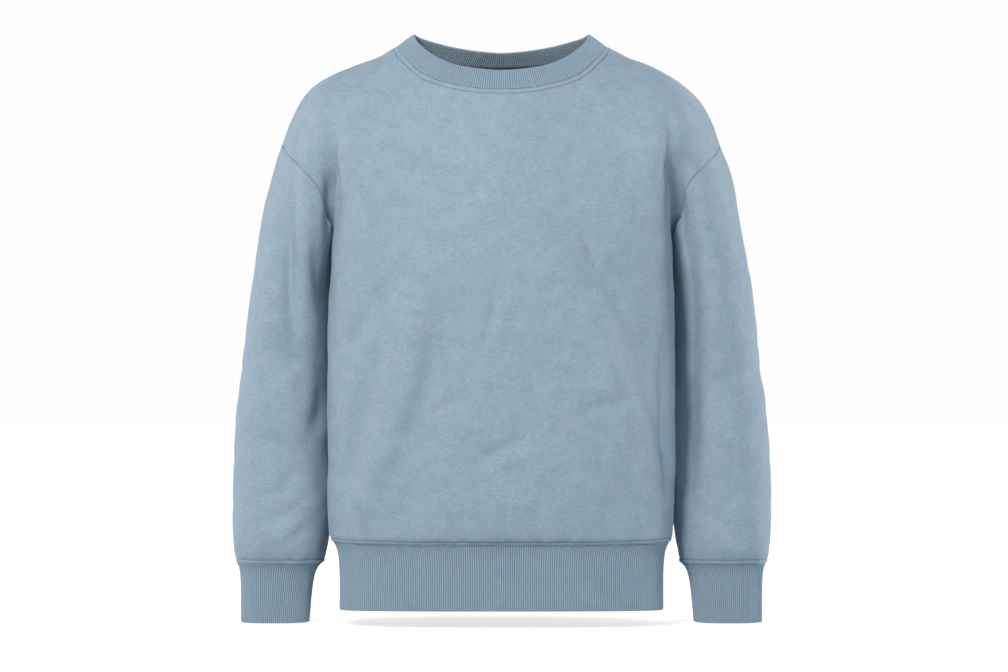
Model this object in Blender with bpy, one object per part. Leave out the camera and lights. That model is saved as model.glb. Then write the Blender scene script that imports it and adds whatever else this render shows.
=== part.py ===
"""Crewneck sweatshirt with dropped shoulders, filled out as if worn, with nobody in it.

Metres, +Z up. The front faces -Y and the garment's left side lies on +X.
The origin is midway between the two points where the shoulder seams meet the collar.

Every piece starts as a flat grid of cloth, is laid on rows worked out from the tables below,
and is sewn to its neighbours into one skin. The skin is eased at the seams, the folds are
pressed in, and then each piece is cut free again and given its own thickness.
"""

import math
from collections import namedtuple

import bmesh
import bpy
import numpy as np
from mathutils import Vector

# ---- cloth ----
FLEECE_WALL = 0.0020
RIB_WALL = 0.0030  # rib knit folded double
SEAM_GAP = 0.0003  # between two pieces that are sewn together

# ---- grid of each piece, counted in quads ----
HALF_COLUMNS = 16  # centre line to side seam
NECK_COLUMNS = 8  # of those, the ones that end at the neckline
UPPER_ROWS = 12  # underarm to shoulder seam
COLLAR_ROWS = 2

# ---- torso ----
SIDE_SEAM_Y = 0.012
UNDERARM_Y = 0.025
WIDEST_Y = -0.030  # where the torso is widest, forward of its side seams
UNDERARM_Z = -0.275
HEM_SEAM_Z = -0.5935
FLARE_REACH = 14  # a higher number keeps the flare closer to the side seam

# Torso rings, hem seam to underarm. front and back are the depths of the centre lines, and
# flare is how far the side seam stands out from the ring, sag how far the front centre drops.
TORSO = {
    "z": (-0.5935, -0.5860, -0.5700, -0.5300, -0.4600, -0.3900, -0.3350, -0.2970, -0.2750),
    "half_width": (0.2000, 0.2036, 0.2056, 0.2068, 0.2072, 0.2072, 0.2067, 0.2060, 0.2052),
    "front": (0.1080, 0.1150, 0.1200, 0.1240, 0.1260, 0.1275, 0.1280, 0.1275, 0.1270),
    "back": (0.1000, 0.1060, 0.1100, 0.1100, 0.1080, 0.1090, 0.1130, 0.1165, 0.1180),
    "square": (2.7, 2.6, 2.5, 2.5, 2.5, 2.5, 2.4, 2.3, 2.3),
    "flare": (0.0, 0.0, 0.0, 0.0, 0.0, 0.0, 0.0, 0.0025, 0.0095),
    "sag": (0.0010, 0.0008, 0.0, 0.0, 0.0, 0.0, 0.0, 0.0, 0.0),
}
LOWER_ROWS = len(TORSO["z"]) - 1  # hem seam to underarm
# Hem band rings, hem edge to hem seam.
HEM_BAND = {
    "z": (-0.6738, -0.6350, -0.6120, -0.5935),
    "half_width": (0.1922, 0.1927, 0.1932, 0.2000),
    "front": (0.1020, 0.1030, 0.1045, 0.1080),
    "back": (0.0940, 0.0950, 0.0965, 0.1000),
    "square": (2.9, 2.8, 2.7, 2.7),
    "flare": (0.0, 0.0, 0.0, 0.0),
    "sag": (-0.0024, -0.0005, 0.0008, 0.0010),
}
# Centre lines above the underarm, up to the neckline.
CENTRE_FRONT = {
    "z": (-0.2750, -0.2200, -0.1650, -0.1200, -0.0850, -0.0568),
    "y": (-0.1270, -0.1250, -0.1170, -0.1030, -0.0870, -0.0700),
}
CENTRE_BACK = {
    "z": (-0.2750, -0.2100, -0.1500, -0.0950, -0.0500, -0.0220),
    "y": (0.1180, 0.1220, 0.1200, 0.1080, 0.0880, 0.0650),
}
# Neckline, centre to shoulder seam.
NECK_FRONT = {
    "x": (0.0000, 0.0300, 0.0600, 0.0806, 0.0945, 0.1110, 0.1215, 0.1266),
    "y": (-0.0700, -0.0677, -0.0604, -0.0517, -0.0432, -0.0285, -0.0125, 0.0100),
    "z": (-0.0568, -0.0556, -0.0498, -0.0430, -0.0366, -0.0203, -0.0092, 0.0000),
}
NECK_BACK = {
    "x": (0.0000, 0.0350, 0.0700, 0.0950, 0.1140, 0.1225, 0.1266),
    "y": (0.0650, 0.0629, 0.0558, 0.0464, 0.0339, 0.0240, 0.0100),
    "z": (-0.0220, -0.0210, -0.0175, -0.0120, -0.0060, -0.0025, 0.0000),
}
# Shoulder seam, collar to the dropped shoulder point.
SHOULDER = {
    "x": (0.1266, 0.1630, 0.2040, 0.2290, 0.2455, 0.2560, 0.2660),
    "y": (0.0100, 0.0110, 0.0120, 0.0120, 0.0120, 0.0120, 0.0120),
    "z": (0.0000, -0.0165, -0.0360, -0.0525, -0.0735, -0.0960, -0.1210),
}
# Armhole, above the underarm point up to the dropped shoulder point.
ARMHOLE_FRONT = {
    "x": (0.2078, 0.2102, 0.2230, 0.2450, 0.2660),
    "y": (-0.0080, -0.0410, -0.0570, -0.0440, 0.0120),
    "z": (-0.2380, -0.1970, -0.1670, -0.1430, -0.1210),
}
ARMHOLE_BACK = {
    "x": (0.2078, 0.2102, 0.2235, 0.2455, 0.2660),
    "y": (0.0560, 0.0860, 0.0970, 0.0800, 0.0120),
    "z": (-0.2380, -0.1970, -0.1670, -0.1430, -0.1210),
}

# Sleeve rings, armhole to cuff seam. "at" is the share of the ring count; each ring stands on
# its outer and inner points, with its own mid-depth and half-depth.
SLEEVE = {
    "at": (0.00, 0.12, 0.25, 0.40, 0.55, 0.70, 0.82, 0.90, 0.95, 0.985, 1.00),
    "outer_x": (0.2660, 0.2845, 0.2978, 0.3082, 0.3162, 0.3222, 0.3248, 0.3250, 0.3244, 0.3230, 0.3186),
    "outer_z": (-0.121, -0.187, -0.262, -0.335, -0.405, -0.472, -0.528, -0.567, -0.590, -0.609, -0.6215),
    "inner_x": (0.2035, 0.2088, 0.2096, 0.2092, 0.2082, 0.2072, 0.2066, 0.2064, 0.2078, 0.2116, 0.2154),
    "inner_z": (-0.275, -0.301, -0.333, -0.375, -0.425, -0.482, -0.530, -0.567, -0.590, -0.609, -0.6215),
    "mid_y": (0.020, 0.027, 0.033, 0.036, 0.034, 0.028, 0.020, 0.015, 0.012, 0.010, 0.010),
    "half_depth": (0.078, 0.083, 0.084, 0.080, 0.074, 0.067, 0.061, 0.057, 0.053, 0.048, 0.041),
    "square": (2.2, 2.2, 2.2, 2.2, 2.2, 2.2, 2.2, 2.2, 2.2, 2.2, 2.2),
}
SLEEVE_RINGS_AT = (0.0, 0.05, 0.11, 0.18, 0.26, 0.35, 0.45, 0.55, 0.65, 0.75, 0.84, 0.92, 0.975, 1.0)
# Cuff rings, cuff seam to cuff edge, in the same columns as the sleeve.
CUFF = {
    "at": (0.0, 0.2, 1.0),
    "outer_x": (0.3186, 0.3138, 0.3130),
    "outer_z": (-0.6215, -0.6350, -0.6920),
    "inner_x": (0.2154, 0.2252, 0.2315),
    "inner_z": (-0.6215, -0.6350, -0.6920),
    "mid_y": (0.010, 0.010, 0.008),
    "half_depth": (0.041, 0.035, 0.030),
    "square": (2.2, 2.3, 2.4),
}
# Collar: how far its free edge stands in from and above the neckline, centre front to centre back.
COLLAR = {
    "turn": (0.0, 0.0625, 0.125, 0.1875, 0.25, 0.3125, 0.375, 0.4375, 0.5, 0.75, 1.0),
    "inward": (0.0100, 0.0100, 0.0104, 0.0120, 0.0146, 0.0169, 0.0190, 0.0212, 0.0221, 0.0190, 0.0150),
    "upward": (0.0236, 0.0240, 0.0238, 0.0229, 0.0228, 0.0207, 0.0160, 0.0135, 0.0145, 0.0195, 0.0180),
}

ARMHOLE_FADE = 0.35  # share of the sleeve over which it leaves the armhole's shape
ARM_REACH = 1.8  # a higher number keeps the panel in to the body until nearer the shoulder
ARMHOLE_STEPS = 200  # fineness of the line the armhole's rows are read from
ARMHOLE_X = 0.19  # seams further out than this, above the underarm, are armholes
EASED_WITHIN = 0.09
EASE_ROUNDS = 14
EASE_STEPS = (0.5, -0.52)  # smooths, then gives back the size that smoothing took
SEWN_WITHIN = 0.00002

FLEECE_COLOUR = (0.34, 0.43, 0.50)
RIB_COLOUR = (0.28, 0.36, 0.43)
RIB_PIECES = {"collar", "hem_band", "left_cuff", "right_cuff"}

# Large folds seen from the front or the back, each along a line from start to end. Depth is
# into the cloth, so a ridge has a negative one, and reach is its spread to each side.
Fold = namedtuple("Fold", "face start_x start_z end_x end_z depth reach")
FOLDS = (
    # drape below the chest, fanning out to the hem
    Fold("front", -0.140, -0.290, -0.188, -0.410, 0.0040, 0.016),
    Fold("front", -0.108, -0.300, -0.172, -0.545, -0.0040, 0.020),
    Fold("front", -0.062, -0.330, -0.118, -0.560, 0.0035, 0.026),
    Fold("front", 0.085, -0.255, 0.160, -0.405, 0.0045, 0.019),
    Fold("front", 0.152, -0.390, 0.192, -0.570, 0.0040, 0.016),
    Fold("front", 0.112, -0.330, 0.166, -0.540, -0.0035, 0.020),
    # where the shoulder cloth turns down into the armhole
    Fold("front", -0.206, -0.110, -0.2045, -0.215, 0.0030, 0.013),
    Fold("front", 0.208, -0.110, 0.2055, -0.215, 0.0040, 0.013),
    # back drape, from the shoulder blades to the hem
    Fold("back", -0.150, -0.200, -0.172, -0.470, 0.0045, 0.020),
    Fold("back", -0.075, -0.340, -0.110, -0.560, 0.0040, 0.026),
    Fold("back", 0.055, -0.300, 0.085, -0.565, 0.0035, 0.028),
    Fold("back", 0.140, -0.215, 0.176, -0.500, 0.0045, 0.020),
    # sleeves, across the bend of the elbow and above the cuff
    Fold("front", -0.290, -0.225, -0.232, -0.300, 0.0030, 0.018),
    Fold("front", -0.300, -0.345, -0.235, -0.400, 0.0035, 0.020),
    Fold("front", -0.300, -0.500, -0.225, -0.555, 0.0030, 0.018),
    Fold("front", 0.285, -0.235, 0.230, -0.310, 0.0030, 0.018),
    Fold("front", 0.305, -0.375, 0.240, -0.425, 0.0035, 0.020),
    Fold("front", 0.295, -0.520, 0.230, -0.560, 0.0030, 0.018),
    Fold("back", -0.300, -0.300, -0.240, -0.350, 0.0035, 0.020),
    Fold("back", -0.310, -0.430, -0.240, -0.390, 0.0035, 0.020),
    Fold("back", 0.300, -0.320, 0.240, -0.360, 0.0035, 0.020),
    Fold("back", 0.310, -0.450, 0.240, -0.420, 0.0035, 0.020),
)


# ---- small tools ----
def smooth_at(values, knots, at):
    """A smooth curve through the points (knots, values), read at the places in at."""
    knots = np.asarray(knots, float)
    values = np.asarray(values, float)
    slope = np.diff(values) / np.diff(knots)
    left, right = slope[:-1], slope[1:]
    inner = np.where(left * right > 0, 2 * left * right / np.where(left + right == 0, 1, left + right), 0)
    tangent = np.concatenate([slope[:1], inner, slope[-1:]])
    at = np.clip(np.asarray(at, float), knots[0], knots[-1])
    i = np.clip(np.searchsorted(knots, at, side="right") - 1, 0, len(knots) - 2)
    width = knots[i + 1] - knots[i]
    t = (at - knots[i]) / width
    return (
        values[i] * (2 * t**3 - 3 * t**2 + 1)
        + tangent[i] * width * (t**3 - 2 * t**2 + t)
        + values[i + 1] * (3 * t**2 - 2 * t**3)
        + tangent[i + 1] * width * (t**3 - t**2)
    )


def even(points, count):
    """count + 1 points at equal distances along a line of points, its two ends kept."""
    points = np.asarray(points, float)
    steps = np.linalg.norm(np.diff(points, axis=0), axis=1)
    along = np.concatenate([[0], np.cumsum(steps)])
    at = np.linspace(0, along[-1], count + 1)
    return np.stack([np.interp(at, along, points[:, k]) for k in range(3)], axis=1)


def curve_through(points, count):
    """count + 1 even points on a smooth curve through a few points."""
    points = np.asarray(points, float)
    steps = np.linalg.norm(np.diff(points, axis=0), axis=1)
    along = np.concatenate([[0], np.cumsum(steps)])
    padded = np.vstack([2 * points[0] - points[1], points, 2 * points[-1] - points[-2]])
    fine = []
    for i in range(len(points) - 1):
        before, start, end, after = padded[i : i + 4]
        for t in np.linspace(0, 1, 13)[: 12 if i < len(points) - 2 else 13]:
            fine.append(
                0.5
                * (
                    2 * start
                    + (end - before) * t
                    + (2 * before - 5 * start + 4 * end - after) * t**2
                    + (3 * start - before - 3 * end + after) * t**3
                )
            )
    return even(fine, count)


def table_points(table):
    """The rows of a table of x, y and z as points."""
    return np.stack([table["x"], table["y"], table["z"]], axis=1)


def mirrored(half):
    """A whole row from its +X half, which runs from the centre line outwards."""
    return np.concatenate([half[:0:-1] * [-1, 1, 1], half])


# ---- torso ----
def torso_half_ring(table, z):
    """The +X half of a torso ring at height z, as (front half, back half), both centre to side."""
    half_width, front, back, square, flare, sag = (
        float(smooth_at(table[name], table["z"], z))
        for name in ("half_width", "front", "back", "square", "flare", "sag")
    )
    turn = np.linspace(0, math.pi, 401)
    across = np.abs(np.sin(turn)) ** (2 / square)
    along = np.sign(np.cos(turn)) * np.abs(np.cos(turn)) ** (2 / square)
    depth = np.where(along > 0, front + WIDEST_Y, back - WIDEST_Y)
    level = z - sag * np.cos(turn)
    ring = np.stack([half_width * across, WIDEST_Y - depth * along, level], axis=1)
    share = np.clip((z - HEM_SEAM_Z) / (UNDERARM_Z - HEM_SEAM_Z), 0, 1)
    seam_y = SIDE_SEAM_Y + (UNDERARM_Y - SIDE_SEAM_Y) * share
    cut = int(np.argmin(np.abs(ring[:, 1] - seam_y)))
    out = np.zeros((HALF_COLUMNS + 1, 3))
    out[:, 0] = flare * np.linspace(0, 1, HALF_COLUMNS + 1) ** FLARE_REACH
    return even(ring[: cut + 1], HALF_COLUMNS) + out, even(ring[: cut - 1 : -1], HALF_COLUMNS) + out


def centre_line(table):
    """The upper centre line at even spacing, underarm level to neckline."""
    points = np.stack([np.zeros(len(table["z"])), table["y"], table["z"]], axis=1)
    return curve_through(points, UPPER_ROWS)


def top_edge(neck):
    """Neckline from the centre to the collar point, then the shoulder seam."""
    return np.concatenate(
        [
            curve_through(table_points(neck), NECK_COLUMNS)[:-1],
            curve_through(table_points(SHOULDER), HALF_COLUMNS - NECK_COLUMNS),
        ]
    )


def upper_half(bottom, neck, centre, armhole):
    """Rows of the +X half of a panel above the underarm, spanned between its four edges."""
    top = top_edge(neck)
    middle = centre_line(centre)
    s = np.linspace(0, 1, HALF_COLUMNS + 1)[None, :, None]
    t = np.linspace(0, 1, UPPER_ROWS + 1)[:, None, None]
    toward_arm = np.clip((s - 0.2) / 0.65, 0, 1)
    roundness = 0.92 * toward_arm**2 * (3 - 2 * toward_arm)
    up = (1 - roundness) * t + roundness * np.sin(t * math.pi / 2)
    over = (1 - roundness) * t + roundness * (1 - np.cos(t * math.pi / 2))
    out = (1 - roundness) * t + roundness * t**ARM_REACH
    rise = np.concatenate([out, over, up], axis=2)
    arm_line = curve_through(np.vstack([bottom[-1], table_points(armhole)]), ARMHOLE_STEPS)
    levels = bottom[-1, 2] + (top[-1, 2] - bottom[-1, 2]) * up[:, -1, 0]
    side = np.stack([np.interp(levels, arm_line[:, 2], arm_line[:, k]) for k in range(3)], axis=1)
    pull = s**2.4
    spanned = bottom[None] * (1 - rise) + top[None] * rise
    from_middle = middle[:, None] - (bottom[0] * (1 - t) + middle[-1] * t)
    from_side = side[:, None] - (bottom[-1] * (1 - rise[:, -1:]) + side[-1] * rise[:, -1:])
    return spanned + (1 - s) ** 1.2 * from_middle + pull * from_side


def body_rows():
    """Rows of the front and back panels, hem seam to shoulder seam, each from -X to +X."""
    rings = [torso_half_ring(TORSO, z) for z in TORSO["z"]]
    panels = []
    for which, neck, centre, armhole in (
        (0, NECK_FRONT, CENTRE_FRONT, ARMHOLE_FRONT),
        (1, NECK_BACK, CENTRE_BACK, ARMHOLE_BACK),
    ):
        lower = [ring[which] for ring in rings]
        upper = upper_half(lower[-1], neck, centre, armhole)
        panels.append(np.array([mirrored(half) for half in [*lower, *upper[1:]]]))
    return panels


# ---- tubes ----
def tube_ring(table, at):
    """A closed ring on its outer and inner points: inner point, front, outer point, back, inner point."""
    outer_x, outer_z, inner_x, inner_z, mid_y, half_depth, square = (
        float(smooth_at(table[name], table["at"], at))
        for name in ("outer_x", "outer_z", "inner_x", "inner_z", "mid_y", "half_depth", "square")
    )
    outer = np.array([outer_x, mid_y, outer_z])
    inner = np.array([inner_x, mid_y, inner_z])
    turn = np.linspace(0, math.pi, 201)
    across = np.sign(np.cos(turn)) * np.abs(np.cos(turn)) ** (2 / square)
    deep = half_depth * np.abs(np.sin(turn)) ** (2 / square)
    line = (outer + inner) / 2 - np.outer(across, (outer - inner) / 2)
    front = even(line - np.outer(deep, [0, 1, 0]), UPPER_ROWS)
    back = even(line + np.outer(deep, [0, 1, 0]), UPPER_ROWS)
    return np.concatenate([front, back[-2::-1]])


def sleeve_rows(front, back):
    """Rings of the +X sleeve, armhole to cuff seam. front and back are the panels' rows."""
    armhole = np.concatenate([front[LOWER_ROWS:, -1], back[-2 : LOWER_ROWS - 1 : -1, -1]])
    shape = armhole - tube_ring(SLEEVE, 0)
    rows = []
    for at in SLEEVE_RINGS_AT:
        fade = max(0.0, 1 - at / ARMHOLE_FADE) ** 2
        rows.append(tube_ring(SLEEVE, at) + fade * shape)
    return np.array(rows)


def cuff_rows():
    return np.array([tube_ring(CUFF, at) for at in CUFF["at"]])


def hem_band_rows():
    """Rows of the hem band, hem edge to hem seam, once round from the -X side seam."""
    rows = []
    for z in (HEM_BAND["z"][0], HEM_BAND["z"][2], HEM_BAND["z"][3]):
        front, back = torso_half_ring(HEM_BAND, z)
        rows.append(np.concatenate([mirrored(front), mirrored(back)[-2::-1]]))
    return np.array(rows)


def collar_rows(front, back):
    """Rows of the collar, neckline to free edge, once round from the -X shoulder seam."""
    first, last = HALF_COLUMNS - NECK_COLUMNS, HALF_COLUMNS + NECK_COLUMNS
    seam = np.concatenate([front[-1, first : last + 1], back[-1, last - 1 : first - 1 : -1]])
    turn = np.concatenate(
        [
            np.abs(np.linspace(-0.5, 0.5, 2 * NECK_COLUMNS + 1)),
            1 - np.abs(np.linspace(0.5, -0.5, 2 * NECK_COLUMNS + 1)[1:]),
        ]
    )
    inward = smooth_at(COLLAR["inward"], COLLAR["turn"], turn)
    upward = smooth_at(COLLAR["upward"], COLLAR["turn"], turn)
    middle = (seam.min(0) + seam.max(0)) / 2
    out = (seam - middle) * [1, 1, 0]
    out /= np.linalg.norm(out, axis=1)[:, None]
    rows = []
    for share in np.linspace(0, 1, COLLAR_ROWS + 1):
        rows.append(seam - out * (inward * share)[:, None] + np.outer(upward * share, [0, 0, 1]))
    return np.array(rows)


# ---- the sewn skin ----
def halves(quad):
    """A quad's two triangles, split along its longer diagonal."""
    a, b, c, d = quad
    if (a.co - c.co).length > (b.co - d.co).length:
        return (a, b, c), (a, c, d)
    return (a, b, d), (b, c, d)


class Skin:
    """All pieces laid out and sewn together along their seams."""

    def __init__(self):
        self.bm = bmesh.new()
        self.piece_of = self.bm.faces.layers.int.new("piece")
        self.names = []

    def lay(self, name, rows):
        """A flat grid of cloth, laid on rows of points."""
        count, columns = rows.shape[:2]
        made = bmesh.ops.create_grid(self.bm, x_segments=columns - 1, y_segments=count - 1, size=1)
        for vert, point in zip(made["verts"], rows.reshape(-1, 3)):
            vert.co = point
        for face in {face for vert in made["verts"] for face in vert.link_faces}:
            face[self.piece_of] = len(self.names)
        self.names.append(name)

    def sew(self):
        bmesh.ops.remove_doubles(self.bm, verts=self.bm.verts, dist=SEWN_WITHIN)
        bmesh.ops.recalc_face_normals(self.bm, faces=self.bm.faces)
        front = min(self.bm.faces, key=lambda face: face.calc_center_median().y)
        if front.normal.y > 0:
            bmesh.ops.reverse_faces(self.bm, faces=self.bm.faces)
        self.bm.normal_update()
        self.bm.verts.index_update()

    def pieces_at(self, vert):
        return {self.names[face[self.piece_of]] for face in vert.link_faces}

    def ease(self, rounds):
        """Evens out the fleece around the armholes and over the shoulders without shrinking it."""
        verts = [vert for vert in self.bm.verts if not self.pieces_at(vert) & RIB_PIECES]
        seam = [vert.co.copy() for vert in verts if len(self.pieces_at(vert)) > 1 and abs(vert.co.x) > ARMHOLE_X]
        seam = [point for point in seam if point.z > UNDERARM_Z - SEAM_GAP]
        share = []
        for vert in verts:
            near_armhole = 1 - min((vert.co - point).length for point in seam) / EASED_WITHIN
            over_shoulder = (vert.co.z - UNDERARM_Z) / EASED_WITHIN
            share.append(min(1.0, max(0.0, near_armhole, over_shoulder)))
        for _ in range(rounds):
            for factor in EASE_STEPS:
                moved = []
                for vert, weight in zip(verts, share):
                    around = [edge.other_vert(vert).co for edge in vert.link_edges]
                    mean = sum(around, Vector()) / len(around)
                    moved.append(vert.co + (mean - vert.co) * factor * weight)
                for vert, place in zip(verts, moved):
                    vert.co = place
        self.bm.normal_update()

    def fold(self):
        """Presses the large folds in as soft troughs and ridges."""
        moves = {vert: 0.0 for vert in self.bm.verts if not self.pieces_at(vert) & RIB_PIECES}
        for fold in FOLDS:
            start = Vector((fold.start_x, fold.start_z))
            along = Vector((fold.end_x, fold.end_z)) - start
            facing = -1 if fold.face == "front" else 1
            for vert in moves:
                offset = Vector((vert.co.x, vert.co.z)) - start
                share = min(1.0, max(0.0, offset.dot(along) / along.length_squared))
                away = (offset - along * share).length / fold.reach
                turned = min(1.0, max(0.0, 2 * facing * vert.normal.y))
                taper = math.sin(math.pi * (0.12 + 0.76 * share))
                moves[vert] += fold.depth * turned * taper * math.exp(-away * away)
        for vert, depth in moves.items():
            vert.co -= vert.normal * depth
        self.bm.normal_update()

    def cut(self, name, wall):
        """One piece as a closed wall: its sheet, drawn back from the seams and thickened inwards."""
        number = self.names.index(name)
        faces = [face for face in self.bm.faces if face[self.piece_of] == number]
        verts = sorted({vert for face in faces for vert in face.verts}, key=lambda vert: vert.index)
        rim = []
        drawn_back = {vert: Vector() for vert in verts}
        for face in faces:
            for loop in face.loops:
                edge = loop.edge
                if [other[self.piece_of] for other in edge.link_faces].count(number) == 1:
                    rim.append(sorted(edge.verts, key=lambda vert: vert.index))
                    along = (loop.link_loop_next.vert.co - loop.vert.co).normalized()
                    for vert in edge.verts:
                        drawn_back[vert] += vert.normal.cross(along).normalized()
        solid = bmesh.new()
        outer, inner = {}, {}
        for vert in verts:
            back = drawn_back[vert]
            shift = back * (SEAM_GAP / max(back.length_squared, 1)) if back.length else back
            outer[vert] = solid.verts.new(vert.co + shift)
            inner[vert] = solid.verts.new(vert.co + shift - vert.normal * wall)
        for face in faces:
            for triangle in halves(face.verts):
                solid.faces.new([outer[vert] for vert in triangle])
                solid.faces.new([inner[vert] for vert in reversed(triangle)])
        for first, second in rim:
            solid.faces.new([outer[first], outer[second], inner[second]])
            solid.faces.new([outer[first], inner[second], inner[first]])
        bmesh.ops.recalc_face_normals(solid, faces=solid.faces)
        return solid


# ---- materials and objects ----
def cloth_material(name, colour):
    material = bpy.data.materials.new(name)
    material.use_nodes = True
    shader = material.node_tree.nodes["Principled BSDF"]
    shader.inputs["Base Color"].default_value = (*colour, 1)
    shader.inputs["Roughness"].default_value = 0.92
    shader.inputs["Metallic"].default_value = 0.0
    material.diffuse_color = (*colour, 1)
    return material


def add_object(name, bm, material, parent):
    mesh = bpy.data.meshes.new(name)
    bm.to_mesh(mesh)
    bm.free()
    mesh.shade_smooth()
    mesh.set_sharp_from_angle(angle=math.radians(50))
    mesh.materials.append(material)
    obj = bpy.data.objects.new(name, mesh)
    obj.parent = parent
    bpy.context.scene.collection.objects.link(obj)
    return obj


def main():
    for obj in list(bpy.data.objects):
        bpy.data.objects.remove(obj)
    front, back = body_rows()
    sleeve = sleeve_rows(front, back)
    cuff = cuff_rows()
    flip = np.array([-1, 1, 1])
    skin = Skin()
    skin.lay("front_panel", front)
    skin.lay("back_panel", back)
    skin.lay("left_sleeve", sleeve)
    skin.lay("right_sleeve", sleeve * flip)
    skin.lay("collar", collar_rows(front, back))
    skin.lay("hem_band", hem_band_rows())
    skin.lay("left_cuff", cuff)
    skin.lay("right_cuff", cuff * flip)
    skin.sew()
    skin.ease(EASE_ROUNDS)
    skin.fold()
    fleece = cloth_material("fleece", FLEECE_COLOUR)
    rib = cloth_material("rib_knit", RIB_COLOUR)
    garment = bpy.data.objects.new("garment", None)
    bpy.context.scene.collection.objects.link(garment)
    for name in skin.names:
        is_rib = name in RIB_PIECES
        piece = skin.cut(name, RIB_WALL if is_rib else FLEECE_WALL)
        add_object(name, piece, rib if is_rib else fleece, garment)


main()
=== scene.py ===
import math

import bmesh
import bpy
import numpy as np
from mathutils import Matrix, Vector
from mathutils.kdtree import KDTree


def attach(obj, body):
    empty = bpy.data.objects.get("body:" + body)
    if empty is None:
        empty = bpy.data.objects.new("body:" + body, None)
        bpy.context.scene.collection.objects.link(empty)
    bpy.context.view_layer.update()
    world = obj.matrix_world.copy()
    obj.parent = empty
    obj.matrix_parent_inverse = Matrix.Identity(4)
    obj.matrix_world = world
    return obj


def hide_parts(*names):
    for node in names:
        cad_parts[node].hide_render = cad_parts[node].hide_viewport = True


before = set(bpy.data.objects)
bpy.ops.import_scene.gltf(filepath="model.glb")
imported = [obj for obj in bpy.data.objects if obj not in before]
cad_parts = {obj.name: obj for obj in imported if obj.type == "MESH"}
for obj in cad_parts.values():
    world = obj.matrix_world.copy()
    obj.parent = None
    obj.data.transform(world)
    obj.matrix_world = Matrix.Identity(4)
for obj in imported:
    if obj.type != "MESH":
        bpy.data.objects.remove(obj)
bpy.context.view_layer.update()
print("frame loaded")

fleeceNames = {
    "front_panel": "frontPanel",
    "back_panel": "backPanel",
    "left_sleeve": "leftSleeve",
    "right_sleeve": "rightSleeve",
}
ribNames = {
    "collar": "neckRib",
    "hem_band": "hemBand",
    "left_cuff": "leftCuff",
    "right_cuff": "rightCuff",
}
allPieces = (*fleeceNames, *ribNames)

# The cloth starts as the outside faces of the frame's pieces, joined into one rounded skin.
cloth = {
    "mergeWithin": 1e-5,
    "rimUnder": 0.0036,  # the frame's cut edges are 2 and 3 mm thick
    "seamGap": 0.0006,  # the frame's pieces are a little less than this apart
    "roundRounds": 3,  # how often the rounding is pulled back onto the frame
    "roundLevels": 3,
    "wall": 0.0020,  # fleece thickness
    "wallClamp": 0.5,  # thinner where squares are tiny, so the inside stays inside
    "meetingRadius": 0.013,  # the cloth is smoothed this far round where seams meet
    "smoothRounds": 14,
    "foldedBelow": 0.75,  # a square turned this far from its neighbours is folded over
    "supportFrom": {  # extra rows of cloth this far from a seam, for the welts
        "front_panel": (("last", 0.0080),),
        "back_panel": (("last", 0.0080),),
        "left_sleeve": (("first", 0.0070), ("last", 0.0060)),
        "right_sleeve": (("first", 0.0070), ("last", 0.0060)),
    },
    "tallRow": 0.060,  # a row taller than this is halved
}


def sheetOf(node):  # the outside face of a frame piece, in the squares it was laid out in
    bm = bmesh.new()
    bm.from_mesh(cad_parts[node].data)
    bm.loops.layers.uv.new("laid")
    bm.faces.layers.int.new("piece")
    bmesh.ops.remove_doubles(bm, verts=bm.verts, dist=cloth["mergeWithin"])
    rim = [f for f in bm.faces if min(e.calc_length() for e in f.edges) < cloth["rimUnder"]]
    bmesh.ops.delete(bm, geom=rim, context="FACES")
    walls, left = [], set(bm.faces)
    while left:
        wall = edge = {left.pop()}
        while edge:
            edge = {g for f in edge for e in f.edges for g in e.link_faces} & left
            left -= edge
            wall = wall | edge
        walls.append(wall)
    outside = max(walls, key=lambda wall: sum(f.calc_area() for f in wall))
    bmesh.ops.delete(bm, geom=[f for f in bm.faces if f not in outside], context="FACES")
    longest = {f: max(e.calc_length() for e in f.edges) - 1e-7 for f in bm.faces}
    slants = [
        e
        for e in bm.edges
        if len(e.link_faces) == 2 and all(e.calc_length() >= longest[f] for f in e.link_faces)
    ]
    bmesh.ops.dissolve_edges(bm, edges=slants, use_verts=False, use_face_split=False)
    return bm


def firstRow(bm, lowest=True):  # its lowest or highest edge, as a chain of points
    rims = [e for e in bm.edges if e.is_boundary]
    corners = [v for v in bm.verts if len(v.link_faces) == 1]
    if corners:
        start = min(corners, key=lambda v: v.co.z + v.co.x)
        chain = [start]
        step = min(
            (e for e in start.link_edges if e.is_boundary), key=lambda e: e.other_vert(start).co.z
        )
        while True:
            chain.append(step.other_vert(chain[-1]))
            if chain[-1] in corners:
                return chain, False
            step = next(e for e in chain[-1].link_edges if e.is_boundary and e is not step)
    rings, left = [], set(rims)
    for first in rims:  # in the mesh's own order, so that a ring runs the same way each time
        if first not in left:
            continue
        left.discard(first)
        step, ring = first, [first.verts[0]]
        while step:
            ring.append(step.other_vert(ring[-1]))
            step = next((e for e in ring[-1].link_edges if e in left), None)
            left.discard(step)
        rings.append(ring[:-1])
    pick = min if lowest else max
    ring = pick(rings, key=lambda r: sum(v.co.z for v in r) / len(r))
    back = max(range(len(ring)), key=lambda i: ring[i].co.y)  # the join is at the back
    return ring[back:] + ring[:back], True


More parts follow.
